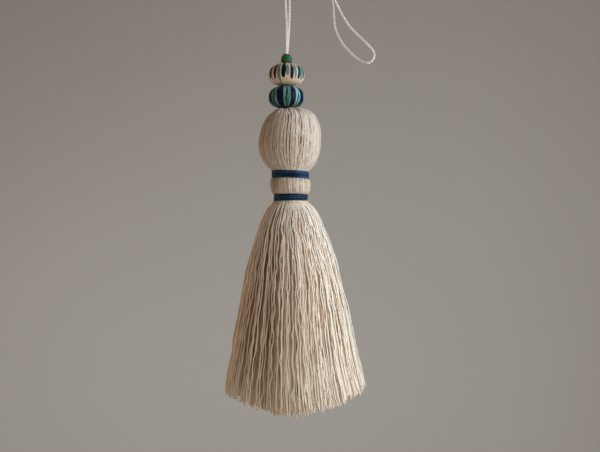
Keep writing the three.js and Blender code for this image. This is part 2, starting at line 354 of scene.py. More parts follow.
def makeCordTree(form):
    tree, make, given = newTree("twistedCord", cordTwist)
    line = make.shape("ResampleCurve", {0: given["Geometry"], "Count": given["steps"]})
    inputs = {0: line, "Amount": given["plies"]}
    copies = make.add("GeometryNodeDuplicateElements", inputs, domain="SPLINE")
    whole = make.add("GeometryNodeSplineParameter").outputs["Length"]
    share = make.over(copies.outputs["Duplicate Index"], given["plies"])
    angle = make.times(make.plus(make.over(whole, given["layLength"]), share), tau)
    normal = make.shape("InputNormal")
    side = make.vector("CROSS_PRODUCT", make.shape("InputTangent"), normal)
    across = make.scaled(normal, make.times(make.math("COSINE", angle), given["plyOffset"]))
    beside = make.scaled(side, make.times(make.math("SINE", angle), given["plyOffset"]))
    inputs = {0: copies.outputs[0], "Offset": make.vector("ADD", across, beside)}
    line = make.shape("SetPosition", inputs)
    uneven = make.noise(make.xyz(make.times(whole, form["lumpScale"]), share), 1.0, 2.0)
    line = make.store(line, "thickness", make.ease(uneven, *form["lumpRange"]))
    line = make.store(line, "tone", make.ease(uneven, *form["toneRange"]))
    twistLength = make.times(given["layLength"], form["twistShare"])
    plies = sweep(make, line, given["plyRadius"], given["sides"], twistLength)
    endTree(make, plies, given["Material"])
    return tree


def makeCord(settings):
    line = smoothLine(cordRoute, settings["stepsPerSpan"])
    curve = bpy.data.curves.new("cordLine", "CURVE")
    curve.dimensions = "3D"
    spline = curve.splines.new("POLY")
    spline.points.add(len(line) - 1)
    for point, place in zip(spline.points, line):
        point.co = (*place, 1)
    cord = grow("hangingCord", curve, makeCordTree(cordForm), cordMaterial)
    finishPiece(cord, "cotton_cord", "hang_cord")


makeCord(cordSettings)


# Each strand starts as the same guide line, turned to its own place round the middle. Lift moves it
# out from the guide, kinks are its own and drift is shared with its neighbours. How far a crest or a
# valley reaches round is in radians.
strandForm = dict(
    noiseRow=3.71, foldScale=6.0, crestSteep=0.26, crestGentle=0.95,
    # the reach and strengths that darken strands near the valley are painted shade
    valleyReach=0.62, shadeReach=0.85, valleyFloor=0.12, sunkDepth=0.6, sunkShade=0.5, plainShade=0.4,
    darkest=0.3, heldLift=0.3, lockStart=0.01, lumpScale=260.0, lumpRange=(0.25, 0.75, 0.82, 1.14),
    nominalLength=0.14, brushedAndLitFull=0.97,
)
strandSizes = dict(
    count=100, steps=24, radius=0.0006, sides=4, twistLength=0.004, scatter=0.5, innerShare=1.0,
    outerShare=1.0, lowLift=0.0, highLift=0.001, kink=0.001, kinkOut=0.5, kinkLength=0.018,
    drift=0.001, driftLength=0.03, easeLength=0.02, gather=0.0, gatherLength=0.012, lockDepth=0.0,
    lockLength=0.06, valleySide=0.0, valleyDepth=0.0, foldSeed=1, crestSide=0.0, crestHeight=0.0,
    crestLength=0.15, crestCut=0.0, lockCut=0.0, brushedAndLitFrom=0.95, thinOut=0.0, valleyShade=0.0,
    rootSize=0.7, tipSize=0.4, tipLength=0.004, endEase=0.0, unevenCut=0.003, cutRight=0.0,
    cutSides=0.0, cutBack=0.0, seed=1,
)


# The angle from a side given in degrees, between half a turn back and half a turn on
def angleFrom(make, turn, side):
    return make.math("WRAP", make.minus(turn, make.times(side, tau / 360)), math.pi, -math.pi)


# What each strand is given once: its place round, tone, lift, share of the radius and cut
def strandPoints(make, given, form):
    seed = given["seed"]
    index = make.shape("InputIndex")
    jitter = make.times(make.random(-1.0, 1.0, seed), given["scatter"])
    turn = make.times(make.over(make.plus(index, jitter), given["count"]), tau)
    cosine, sine = make.math("COSINE", turn), make.math("SINE", turn)

    fromCrest = angleFrom(make, turn, given["crestSide"])
    steepSide = make.shade("MapRange", {0: fromCrest, 1: -form["crestSteep"], 2: 0.0})
    gentle = {0: fromCrest, 1: 0.0, 2: form["crestGentle"], 3: 1.0, 4: 0.0}
    crest = make.times(steepSide, make.shade("MapRange", gentle))
    foldPlace = make.scaled(make.xyz(cosine, sine, given["foldSeed"]), form["foldScale"])
    fold = make.minus(make.noise(foldPlace), 0.5)

    fromValley = make.math("ABSOLUTE", angleFrom(make, turn, given["valleySide"]))
    nearness = make.ease(fromValley, form["shadeReach"], form["valleyFloor"])
    valley = make.ease(fromValley, form["valleyReach"], form["valleyFloor"])
    valley = make.times(valley, given["valleyDepth"])
    lift = make.random(given["lowLift"], given["highLift"], make.plus(seed, 2))
    sunk = make.math("LESS_THAN", make.random(0.0, 1.0, make.plus(seed, 6)), given["thinOut"])
    valley = make.times(valley, make.math("MULTIPLY_ADD", sunk, form["sunkDepth"], 1.0))
    paintedShade = make.math("MULTIPLY_ADD", sunk, form["sunkShade"], form["plainShade"])
    paintedShade = make.times(paintedShade, nearness)  # strands deep in the valley get a darker tone: painted shade
    tone = make.random(form["darkest"], 1.0, make.plus(seed, 1))
    tone = make.times(tone, make.minus(1.0, make.times(paintedShade, given["valleyShade"])))

    spot = make.random(0.0, 1.0, make.plus(seed, 3))
    innerArea = make.math("POWER", given["innerShare"], 2.0)
    outerArea = make.math("POWER", given["outerShare"], 2.0)
    area = make.plus(innerArea, make.times(spot, make.minus(outerArea, innerArea)))

    cut = make.times(make.math("MAXIMUM", cosine, 0.0), given["cutRight"])
    sides = make.times(make.times(cosine, cosine), given["cutSides"])
    back = make.times(sine, given["cutBack"])
    ragged = make.times(make.random(0.0, 1.0, make.plus(seed, 4)), given["unevenCut"])
    cut = make.plus(make.plus(cut, sides), make.plus(back, ragged))
    longer = make.plus(make.times(crest, given["crestCut"]), make.times(fold, given["lockCut"]))

    values = dict(
        turn=turn, strand=make.times(index, form["noiseRow"]), crest=crest, fold=fold, tone=tone,
        lift=make.minus(lift, valley), share=make.math("SQRT", area), cut=make.minus(cut, longer),
    )
    points = make.shape("Points", {"Count": given["count"]})
    for name, value in values.items():
        points = make.store(points, name, value)
    return points


# Where each point along a strand goes
def strandPlaces(make, given, form, length, factor):
    turn, share = make.named("turn"), make.named("share")
    position = make.shape("InputPosition")
    x, y, z = make.split(position)
    sideways = make.xyz(make.times(make.math("SINE", turn), -1.0), make.math("COSINE", turn), 0.0)
    outward = make.vector("CROSS_PRODUCT", make.shape("InputTangent"), sideways)

    held = make.ease(factor, 1.0, make.minus(1.0, given["endEase"]))
    endIsFree = make.math("LESS_THAN", given["endEase"], 0.001)
    slack = make.ease(length, 0.0, given["easeLength"])
    slack = make.times(slack, make.math("MAXIMUM", held, endIsFree))
    kinkPlace = make.xyz(make.over(length, given["kinkLength"]), make.named("strand"))
    driftPlace = make.scaled(position, make.over(1.0, given["driftLength"]))
    kinks = make.scaled(make.wander(kinkPlace), make.times(given["kink"], slack))
    drifts = make.scaled(make.wander(driftPlace), make.times(given["drift"], slack))
    kinkSide, kinkOut, _ = make.split(make.vector("ADD", kinks, drifts))

    settled = make.plus(make.times(slack, 1.0 - form["heldLift"]), form["heldLift"])
    settled = make.times(make.named("lift"), settled)
    raised = make.plus(make.times(kinkOut, given["kinkOut"]), settled)
    gathered = make.times(make.ease(length, given["gatherLength"], 0.0), given["gather"])
    locks = make.times(make.ease(length, form["lockStart"], given["lockLength"]), given["lockDepth"])
    raised = make.plus(raised, make.times(make.named("fold"), make.plus(gathered, locks)))
    crests = make.times(make.ease(length, 0.0, given["crestLength"]), given["crestHeight"])
    raised = make.plus(raised, make.times(make.named("crest"), crests))

    x = make.times(x, share)
    y = make.times(y, share)
    z = make.plus(z, make.times(make.named("cut"), factor))
    z = make.plus(z, make.times(make.named("slope"), x))
    x = make.plus(x, make.named("shift"))
    moved = make.vector("ADD", make.xyz(x, y, z), make.scaled(sideways, kinkSide))
    return make.vector("ADD", moved, make.scaled(outward, raised))


def strandThickness(make, given, form, length, factor):
    lumpPlace = make.xyz(make.times(length, form["lumpScale"]), make.named("strand"))
    lumps = make.ease(make.noise(lumpPlace), *form["lumpRange"])
    pinch = make.ease(length, 0.0, given["easeLength"], given["rootSize"], 1.0)
    toEnd = make.times(make.minus(1.0, factor), make.over(form["nominalLength"], given["tipLength"]))
    tip = make.ease(toEnd, 0.0, 1.0, given["tipSize"], 1.0)
    return make.times(make.times(lumps, pinch), tip)


def makeStrandTree(form):
    tree, make, given = newTree("yarnStrands", strandSizes)
    guide = make.shape("MeshToCurve", {0: given["Geometry"]})
    guide = make.shape("ResampleCurve", {0: guide, "Count": given["steps"]})
    points = strandPoints(make, given, form)
    rotation = make.xyz(0.0, 0.0, make.named("turn"))
    strands = make.shape("InstanceOnPoints", {"Points": points, "Instance": guide, "Rotation": rotation})
    strands = make.shape("RealizeInstances", {0: strands})

    parameter = make.add("GeometryNodeSplineParameter").outputs
    length, factor = parameter["Length"], parameter["Factor"]
    places = strandPlaces(make, given, form, length, factor)
    strands = make.store(strands, "thickness", strandThickness(make, given, form, length, factor))
    # where the paler ends start: partly fuzz at the cut ends, partly a painted highlight on the lit hem
    strands = make.store(strands, "brushedAndLit", make.ease(factor, given["brushedAndLitFrom"], form["brushedAndLitFull"]))
    strands = make.shape("SetPosition", {0: strands, "Position": places})
    for spare in ("turn", "share", "lift", "cut", "strand", "shift", "slope", "crest", "fold"):
        strands = make.shape("RemoveAttribute", {0: strands, "Name": spare})
    tubes = sweep(make, strands, given["radius"], given["sides"], given["twistLength"])
    endTree(make, tubes, given["Material"])
    return tree


strandTree = makeStrandTree(strandForm)


# A guide is a chain of edges in the XZ plane. Each row of sections is (height, radius, shift, slope).
def makeGuide(name, sections, stepsPerSpan=8):
    rows = smoothLine(sections, stepsPerSpan)
    mesh = bpy.data.meshes.new(name)
    edges = [(row, row + 1) for row in range(len(rows) - 1)]
    mesh.from_pydata([(row[1], 0, row[0]) for row in rows], edges, [])
    for column, label in ((2, "shift"), (3, "slope")):
        attribute = mesh.attributes.new(label, "FLOAT", "POINT")
        attribute.data.foreach_set("value", [row[column] for row in rows])
    return mesh


def growStrands(name, guide, material, settings):
    return grow(name, guide.copy(), strandTree, material, **settings)


# the backing's low tone is painted shade under the strands
backingForm = dict(inset=0.0006, sides=72, stepsPerSpan=6, tone=0.2, turnsRound=4, turnsPerRow=0.5)


# The inner yarn just under the strands, a closed turned surface with the sections' shift and slope
def makeBacking(name, sections, material, form=backingForm):
    rows = smoothLine(sections, form["stepsPerSpan"])
    sides = form["sides"]
    vertices, faces = [], []
    for height, radius, shift, slope in rows:
        for side in range(sides):
            angle = tau * side / sides
            x = (radius - form["inset"]) * math.cos(angle)
            vertices.append((x + shift, (radius - form["inset"]) * math.sin(angle), height + slope * x))
    for row in range(len(rows) - 1):
        for side in range(sides):
            after = (side + 1) % sides
            a, b = row * sides, (row + 1) * sides
            faces.append((a + side, b + side, b + after, a + after))
    faces.append(tuple(range(sides)))
    faces.append(tuple(reversed(range(len(vertices) - sides, len(vertices)))))
    mesh = bpy.data.meshes.new(name)
    mesh.from_pydata(vertices, [], faces)
    mesh.shade_smooth()
    # a low tone over the whole surface: painted shade under the strands
    tone = mesh.attributes.new("tone", "FLOAT", "POINT")
    tone.data.foreach_set("value", [form["tone"]] * len(vertices))
    uv = mesh.uv_layers.new(name="yarnUv")
    for loop in mesh.loops:
        row, side = divmod(loop.vertex_index, sides)
        uv.data[loop.index].uv = (side * form["turnsRound"] / sides, row * form["turnsPerRow"])
    return addPiece(name, mesh, material)


headSections = [
    (-0.0826, 0.003, 0.0004, 0), (-0.0827, 0.007, 0.0012, 0.05), (-0.0839, 0.0114, 0.0022, 0.1),
    (-0.0866, 0.0153, 0.0028, 0.085), (-0.091, 0.0184, 0.0031, 0.045), (-0.097, 0.0205, 0.0029, 0.015),
    (-0.105, 0.0213, 0.0023, 0), (-0.111, 0.0209, 0.0021, 0), (-0.117, 0.019, 0.0023, 0),
    (-0.1218, 0.0157, 0.0025, -0.02), (-0.1246, 0.0129, 0.0024, -0.035),
    (-0.126, 0.0116, 0.00235, -0.035), (-0.128, 0.011, 0.00235, -0.035),
]
bulgeSections = [
    (-0.1285, 0.0108, 0.00235, -0.035), (-0.13, 0.0114, 0.0024, -0.035),
    (-0.1312, 0.0127, 0.0025, -0.03), (-0.1336, 0.0136, 0.00255, -0.02),
    (-0.1374, 0.0134, 0.0027, -0.01), (-0.1402, 0.0125, 0.0028, 0), (-0.1418, 0.011, 0.0029, 0),
    (-0.1435, 0.0103, 0.0029, 0),
]
stretchedYarn = dict(
    radius=0.0005, sides=3, twistLength=0.0032, scatter=0.9, lowLift=-0.0002, highLift=0.0002,
    kink=0.0016, kinkOut=0.25, drift=0.001, tipSize=0.9, tipLength=0.01, unevenCut=0.0,
)
headYarn = dict(
    stretchedYarn, count=240, steps=28, kinkLength=0.0055, driftLength=0.016, gather=0.0048,
    gatherLength=0.024, easeLength=0.006, rootSize=0.8, endEase=0.12, seed=11,
)
bulgeYarn = dict(
    stretchedYarn, count=170, steps=14, kinkLength=0.005, driftLength=0.01, easeLength=0.003,
    rootSize=0.9, endEase=0.2, seed=31,
)


def makeHeadPart(name, part, sections, settings):
    pieces = [
        growStrands(part + "Yarn", makeGuide(part + "Guide", sections), shadedHeadMaterial, settings),
        makeBacking(part + "UnderYarn", sections, shadedInnerMaterial),
    ]
    finishPiece(joinPieces(name, pieces), "cotton_yarn", "yarn_hank")


makeHeadPart("yarnHead", "head", headSections, headYarn)
makeHeadPart("yarnNeck", "bulge", bulgeSections, bulgeYarn)


skirtSettings = dict(top=-0.1464, shift=0.0029, lean=0.0225)
skirtOutline = [  # drop below the skirt's top, radius
    (-0.003, 0.0097), (0.0002, 0.0104), (0.0014, 0.0117), (0.004, 0.0143), (0.008, 0.0169),
    (0.016, 0.0203), (0.029, 0.0247), (0.045, 0.0292), (0.065, 0.0333), (0.09, 0.0387),
    (0.113, 0.0429), (0.1372, 0.0479),
]
skirtStrands = dict(
    sides=3, scatter=0.9, rootSize=0.7, tipSize=0.7, tipLength=0.004, unevenCut=0.004,
    cutRight=0.004, cutSides=0.0032, cutBack=0.0014,
    kinkLength=0.0075, driftLength=0.034, easeLength=0.028, twistLength=0.0034,
    lockDepth=0.005, lockLength=0.07, lockCut=0.006, foldSeed=101, valleySide=232.0, valleyDepth=0.0056,
    crestSide=262.0, crestHeight=0.0062, crestLength=0.12, crestCut=0.0022, brushedAndLitFrom=0.66,
)
proudStrands = dict(
    skirtStrands, count=130, steps=28, radius=0.00054, lowLift=0.0002, highLift=0.0013,
    valleyDepth=0.0, kink=0.005, drift=0.0044, seed=101,
)
closeStrands = dict(
    skirtStrands, count=560, steps=20, radius=0.00046, lowLift=-0.0005, highLift=0.0002,
    # these strands darken near the valley: painted shade
    thinOut=0.62, valleyShade=1.0, kink=0.0022, drift=0.0034, unevenCut=0.005, seed=201,
)
underStrands = dict(
    skirtStrands, count=420, steps=16, radius=0.00072, scatter=1.0, lowLift=-0.0013, highLift=-0.0005,
    thinOut=0.3, kink=0.0026, drift=0.0034, rootSize=0.3, tipSize=0.75, seed=301,
)
coreStrands = dict(
    skirtStrands, count=960, steps=9, radius=0.0013, scatter=1.0, innerShare=0.05, outerShare=0.9,
    lowLift=-0.001, highLift=0.0, kink=0.004, drift=0.004, rootSize=0.35, tipSize=0.85,
    tipLength=0.006, unevenCut=0.006, seed=401,
)


def makeSkirt(settings):
    sections = [
        (settings["top"] - drop, radius, settings["shift"] + settings["lean"] * max(drop, 0), 0.0)
        for drop, radius in skirtOutline
    ]
    guide = makeGuide("skirtGuide", sections)
    outer = [
        growStrands("proudStrands", guide, litProudMaterial, proudStrands),
        growStrands("closeStrands", guide, skirtMaterial, closeStrands),
    ]
    finishPiece(joinPieces("skirtYarn", outer), "cotton_yarn", "yarn_hank")
    inner = [
        growStrands("underStrands", guide, shadedInnerMaterial, underStrands),
        growStrands("coreStrands", guide, shadedInnerMaterial, coreStrands),
    ]
    finishPiece(joinPieces("skirtInnerYarn", inner), "cotton_yarn", "yarn_hank")


makeSkirt(skirtSettings)


upperBinding = dict(middle=-0.12795, height=0.005, radius=0.0132, shift=0.0026, slope=-0.035, seed=5)
lowerBinding = dict(middle=-0.14395, height=0.005, radius=0.01205, shift=0.0029, slope=0.0, seed=8)
threadSettings = dict(turns=6.4, threadRadius=0.00043, sides=8, stepsPerTurn=72, twistLength=0.002)
threadForm = dict(wanderScale=90.0, wanderOut=0.016, wanderUp=0.45, toneScale=0.3)


def makeBindingTree(form):
    tree, make, given = newTree("woundThread", dict(threadSettings, **upperBinding))
    thread = make.times(given["threadRadius"], 2.0)
    reach = make.minus(given["radius"], given["threadRadius"])
    rise = make.minus(given["height"], thread)
    inputs = {
        "Resolution": given["stepsPerTurn"], "Rotations": given["turns"],
        "Start Radius": reach, "End Radius": reach, "Height": rise,
    }
    spiral = make.shape("CurveSpiral", inputs)
    parameter = make.add("GeometryNodeSplineParameter").outputs
    place = make.xyz(make.times(parameter["Length"], form["wanderScale"]), given["seed"])
    outer, up, _ = make.split(make.wander(place))
    x, y, _ = make.split(make.shape("InputPosition"))
    grown = make.plus(1.0, make.times(outer, form["wanderOut"]))
    x, y = make.times(x, grown), make.times(y, grown)
    turnShare = make.over(1.0, given["turns"])
    inputs = {0: parameter["Factor"], 1: turnShare, 2: make.minus(1.0, turnShare)}
    climb = make.shade("MapRange", inputs)  # the first and last turns lie level
    z = make.times(make.minus(climb, 0.5), rise)
    z = make.plus(z, make.times(up, make.times(thread, form["wanderUp"])))
    z = make.plus(make.plus(z, given["middle"]), make.times(x, given["slope"]))
    x = make.plus(x, given["shift"])
    line = make.shape("SetPosition", {0: spiral, "Position": make.xyz(x, y, z)})
    line = make.store(line, "thickness", 1.0)
    line = make.store(line, "tone", make.noise(place, form["toneScale"], 1.0))
    turns = sweep(make, line, given["threadRadius"], given["sides"], given["twistLength"])
    endTree(make, turns, given["Material"])
    return tree


bindingTree = makeBindingTree(threadForm)


def makeBinding(name, node, place):
    binding = grow(name, bpy.data.meshes.new(name + "Seed"), bindingTree, navyMaterial, **place)
    finishPiece(binding, "navy_thread", node)


makeBinding("upperBinding", "binding_upper", upperBinding)
makeBinding("lowerBinding", "binding_lower", lowerBinding)


# powers bend the upper and the lower half of the outline: 2 is round and more is squarer
greenBead = dict(
    top=-0.0438, widest=-0.0483, bottom=-0.0499, radius=0.00395, flat=0.00235, powers=(2.0, 2.6),
)
roundBead = dict(radius=0.0126, flat=0.0036)
creamBead = dict(roundBead, top=-0.0502, widest=-0.058, bottom=-0.0657, powers=(2.2, 2.6))
tealBead = dict(roundBead, top=-0.066, widest=-0.0739, bottom=-0.0815, powers=(2.4, 2.5))
boreRadius = 0.00215
boreEdge = 0.00025  # how far the bore's ends are eased
beadSides = 96
beadRows = 22


# One half of a bead's outline, from its widest place to the flat round the bore
def beadHalf(settings, end, power):
    flatAngle = math.asin((settings["flat"] / settings["radius"]) ** (power / 2))
    rise = (end - settings["widest"]) / math.cos(flatAngle) ** (2 / power)
    half = []
    for row in range(beadRows + 1):
        angle = math.pi / 2 + (flatAngle - math.pi / 2) * row / beadRows
        radius = settings["radius"] * math.sin(angle) ** (2 / power)
        half.append((radius, settings["widest"] + rise * max(math.cos(angle), 0) ** (2 / power)))
    return half


def makeBead(name, node, slot, settings, material):
    top, bottom = settings["top"], settings["bottom"]
    lower = beadHalf(settings, bottom, settings["powers"][1])
    upper = beadHalf(settings, top, settings["powers"][0])
    outline = lower[::-1] + upper[1:] + [
        (boreRadius + boreEdge, top), (boreRadius, top - boreEdge),
        (boreRadius, bottom + boreEdge), (boreRadius + boreEdge, bottom),
    ]
    vertices, faces = [], []
    for radius, height in outline:
        for side in range(beadSides):
            angle = tau * side / beadSides  # 0 faces -Y and a quarter turn faces +X
            vertices.append((radius * math.sin(angle), -radius * math.cos(angle), height))
    rows = len(outline)
    for row in range(rows):
        for side in range(beadSides):
            after = (side + 1) % beadSides
            a, b = row * beadSides, (row + 1) % rows * beadSides
            faces.append((a + side, a + after, b + after, b + side))
    mesh = bpy.data.meshes.new(name)
    mesh.from_pydata(vertices, [], faces)
    mesh.shade_smooth()
    uv = mesh.uv_layers.new(name="beadUv")
    for face in mesh.polygons:
        for loopIndex in face.loop_indices:
            row, side = divmod(mesh.loops[loopIndex].vertex_index, beadSides)
            wraps = side == 0 and face.index % beadSides == beadSides - 1
            around = 1.0 if wraps else side / beadSides
            uv.data[loopIndex].uv = (around, (outline[row][1] - bottom) / (top - bottom))
    finishPiece(addPiece(name, mesh, material), slot, node)


# The colour ramp keeps a mark's ends as shares of endSpan, from endStart
strokeForm = dict(wanderRound=9.0, wanderUp=2.2, endSpan=3.0, endStart=-1.0, lastStop=0.999)


# Brush strokes laid round a bead, evenly spaced but for their own marks. A mark is (place, half width,
# top, bottom): the first two in shares of the spacing, the others in shares of the bead's height.
def strokes(make, around, up, settings, form=strokeForm):
    marks = settings["marks"]
    span, start = form["endSpan"], form["endStart"]
    place = make.times(make.minus(around, settings["first"] / 360), float(len(marks)))
    driftRound, driftUp = make.times(around, form["wanderRound"]), make.times(up, form["wanderUp"])
    drift = make.noise(make.xyz(driftRound, driftUp, settings["seed"]), 1.0, 2.0)
    place = make.plus(place, make.times(make.minus(drift, 0.5), settings["wobble"]))
    number = make.math("ROUND", place)
    wrapped = make.math("WRAP", number, float(len(marks)), 0.0)
    chosen = make.add("ShaderNodeValToRGB", {0: make.over(make.plus(wrapped, 0.5), len(marks))})
    chosen.color_ramp.interpolation = "CONSTANT"
    stops = chosen.color_ramp.elements
    while len(stops) < len(marks):
        stops.new(form["lastStop"])
    for index, (offset, halfWidth, top, bottom) in enumerate(marks):
        stops[index].position = index / len(marks)
        stops[index].color = (offset + 0.5, halfWidth, (top - start) / span, (bottom - start) / span)
    offset, halfWidth, top = make.split(chosen.outputs["Color"])
    offset = make.minus(offset, 0.5)
    top = make.math("MULTIPLY_ADD", top, span, start)
    bottom = make.math("MULTIPLY_ADD", chosen.outputs["Alpha"], span, start)
    share = make.over(make.minus(up, bottom), make.minus(top, bottom))
    inside = make.times(make.times(share, make.minus(1.0, share)), 4.0)  # 1 half way, 0 at the ends
    belly = make.math("POWER", make.math("MAXIMUM", inside, 0.0), settings["roundness"])
    taper = make.minus(1.0, make.times(share, settings["taper"]))
    width = make.times(halfWidth, make.times(belly, taper))
    local = make.minus(make.minus(place, number), offset)
    beyond = make.minus(make.math("ABSOLUTE", local), width)
    mask = make.ease(beyond, -settings["softness"], settings["softness"], 1.0, 0.0)
    return make.times(mask, make.math("GREATER_THAN", inside, 0.0))


noMark = (0.0, 0.0, 1.0, 0.5)


# Marks that run over the bead's whole height
def wholeMarks(*marks):
    return [(offset, halfWidth, 1.4, -0.4) for offset, halfWidth in marks]


# first is the first stroke's place round the bead in degrees, with 0 in front and 90 on the right
creamNavyStrokes = dict(first=-9, roundness=0.3, taper=0.1, softness=0.03, wobble=0.22, seed=3.0, marks=[
    (0, 0.28, 1.06, 0.25), (0, 0.24, 0.8, 0.2), (-0.05, 0.22, 0.88, 0.22), (-0.15, 0.19, 0.82, 0.26),
    (0.05, 0.24, 0.95, 0.3), (-0.08, 0.21, 0.88, 0.24), (0.04, 0.26, 0.98, 0.32), (0, 0.2, 0.84, 0.22),
    (0.1, 0.24, 0.92, 0.28), (-0.06, 0.27, 0.99, 0.3), (0.03, 0.22, 0.86, 0.26),
    (0.05, 0.2, 0.92, 0.26), (-0.1, 0.22, 1.03, 0.22),
])
creamShortStrokes = dict(first=-9, roundness=0.3, taper=0.3, softness=0.04, wobble=0.22, seed=3.0, marks=[
    noMark, (0, 0.13, 0.98, 0.78), noMark, noMark, noMark, noMark, noMark, (0, 0.12, 0.99, 0.86),
    noMark, noMark, (0.05, 0.1, 0.99, 0.88), noMark, noMark,
])
creamGreenStrokes = dict(first=4, roundness=0.4, taper=-0.3, softness=0.035, wobble=0.25, seed=23.0, marks=[
    (0, 0.17, 0.82, 0.34), (-0.03, 0.16, 0.92, 0.22), (-0.07, 0.26, 0.88, 0.2), (0, 0.17, 0.86, 0.18),
    (0.06, 0.12, 0.82, 0.1), (0, 0.14, 0.9, 0.22), (-0.05, 0.11, 0.8, 0.06), (0.08, 0.15, 0.86, 0.25),
    (0, 0.12, 0.88, 0.12), (0.05, 0.14, 0.84, 0.2), (-0.06, 0.12, 0.88, 0.08),
    (-0.15, 0.11, 0.88, 0.12), (-0.03, 0.18, 0.9, 0.02),
])
creamFineStrokes = dict(first=3, roundness=0.2, taper=0.2, softness=0.03, wobble=0.4, seed=43.0, marks=[
    (0, 0.022, 0.5, 0.05), (0.1, 0.02, 0.4, 0.1), (0.05, 0.028, 0.3, 0), (0, 0.02, 0.45, 0.05),
    (-0.1, 0.025, 0.4, 0), (0, 0.02, 0.5, 0.12), (0.12, 0.022, 0.35, 0), (0, 0.02, 0.45, 0.05),
])
creamGreen = (0.08, 0.27, 0.235, 1)
# Coats go on in order, and only raised ones stand out from the wood. Ranges are start, end, low, high.
creamPaint = dict(
    name="creamStripedPaint", ground=((0.76, 0.61, 0.49, 1), (0.58, 0.41, 0.31, 1)),
    grainScale=420.0, grainStretch=(1.0, 1.0, 0.25), groundRange=(0.35, 0.7, 0.0, 0.45),
    streakRelief=0.4, roughness=(0.36, 0.5), varnish=0.0,
    coats=[
        dict(colour=creamGreen, cover=(0.0, 1.0, 0.45, 0.45), raised=False, strokes=[creamFineStrokes]),
        dict(colour=creamGreen, cover=(0.2, 0.5, 0.75, 1.0), raised=True, strokes=[creamGreenStrokes]),
        dict(
            colour=(0.002, 0.006, 0.024, 1), cover=(0.2, 0.45, 0.9, 1.0), raised=True,
            strokes=[creamNavyStrokes, creamShortStrokes],
        ),
    ],
)
tealWideStrokes = dict(
    first=-21, roundness=0.1, taper=0.0, softness=0.018, wobble=0.2, seed=7.0, marks=wholeMarks(
        (0, 0.28), (0.11, 0.23), (0.05, 0.27), (0, 0.26), (-0.08, 0.21), (0.05, 0.26), (0, 0.22),
        (0.04, 0.32), (-0.18, 0.38),
    ),
)
tealFineStrokes = dict(first=1, roundness=0.3, taper=0.2, softness=0.018, wobble=0.35, seed=57.0, marks=[
    (0, 0.09, 1.2, -0.2), (0, 0.07, 0.6, -0.1), (0, 0.07, 1.1, -0.1), (0.1, 0.05, 0.8, -0.1),
    (-0.05, 0.07, 1.1, -0.1), (0, 0.05, 1.1, 0.3), (0.08, 0.06, 1.1, -0.1), (0, 0.05, 0.7, -0.1),
    (-0.15, 0.14, 1.2, -0.2),
])
tealThinStrokes = dict(first=-34, roundness=0.3, taper=0.0, softness=0.02, wobble=0.5, seed=91.0, marks=[
    (0, 0.03, 1.05, 0.45), (0.05, 0.025, 0.6, -0.1), (0, 0.03, 1.1, 0.3), (-0.1, 0.025, 0.7, -0.1),
    (0, 0.03, 1, 0.2), (0.1, 0.025, 1.1, 0.5), (0, 0.03, 0.6, -0.1), (0, 0.025, 1, 0.4),
    (0.1, 0.03, 1, 0.1),
])
# Pale blue strokes round the bead: partly its own paint, partly a painted reflection of the sky light on
# its right side
tealPaleStrokes = dict(first=38, roundness=0.6, taper=0.2, softness=0.12, wobble=0.5, seed=77.0, marks=[
    (0, 0.34, 1.2, 0.1), (0.1, 0.2, 1.1, 0.1), (0, 0.24, 1.2, 0.3), (0, 0.18, 1.1, 0),
    (0.1, 0.25, 1.2, 0.2), (0, 0.16, 1.1, 0.1), (0, 0.26, 1.2, 0.3), (-0.1, 0.18, 1.1, 0),
    (0, 0.12, 1.1, 0.4),
])
tealNavy = (0.002, 0.007, 0.03, 1)
tealPaint = dict(
    name="tealStripedPaint", ground=((0.095, 0.27, 0.235, 1), (0.18, 0.42, 0.42, 1)),
    groundRange=(0.3, 0.75, 0.0, 0.35), streakRelief=0.4, roughness=(0.28, 0.42), varnish=0.0,
    coats=[
        # pale blue coat: partly paint, partly a painted sky reflection
        dict(
            colour=(0.26, 0.52, 0.62, 1), cover=(0.0, 1.0, 0.85, 0.85), raised=False,
            strokes=[tealPaleStrokes],
        ),
        dict(
            colour=tealNavy, cover=(0.0, 1.0, 0.9, 0.9), raised=True,
            strokes=[tealFineStrokes, tealThinStrokes],
        ),
        dict(colour=tealNavy, cover=(0.15, 0.4, 0.93, 1.0), raised=True, strokes=[tealWideStrokes]),
    ],
)
greenPaint = dict(
    deep=(0.022, 0.105, 0.042, 1), pale=(0.04, 0.175, 0.078, 1), blotch=(0.015, 0.075, 0.03, 1),
    paleRange=(0.3, 0.7), blotchScale=500.0, blotchRange=(0.5, 0.8, 0.0, 0.35),
    roughness=(0.5, 0.65), varnish=0.05,
)
paintForm = dict(
    streaksRound=120.0, streaksUp=3.0, roughRange=(0.3, 0.7), specular=0.2, gloss=(0.6, 0.85, 1.0, 1),
    coatRoughness=0.3, bumpStrength=0.5, relief=0.00012,
)


def beadMap(make, form=paintForm):
    around, up, _ = make.split(make.shade("UVMap", uv_map="beadUv"))
    coords = make.add("ShaderNodeTexCoord").outputs["Object"]
    streaks = make.xyz(make.times(around, form["streaksRound"]), make.times(up, form["streaksUp"]))
    return around, up, coords, make.noise(streaks, 1.0, 3.0)


def finishPaint(make, shader, colour, relief, brush, paint, form=paintForm):
    roughness = make.ease(brush, *form["roughRange"], *paint["roughness"])
    inputs = {"Strength": form["bumpStrength"], "Distance": form["relief"], "Height": relief}
    make.feed(shader, {
        "Base Color": colour, "Roughness": roughness, "Normal": make.shade("Bump", inputs),
        "Specular IOR Level": form["specular"], "Specular Tint": form["gloss"],
        "Coat Weight": paint["varnish"], "Coat Roughness": form["coatRoughness"],
    })


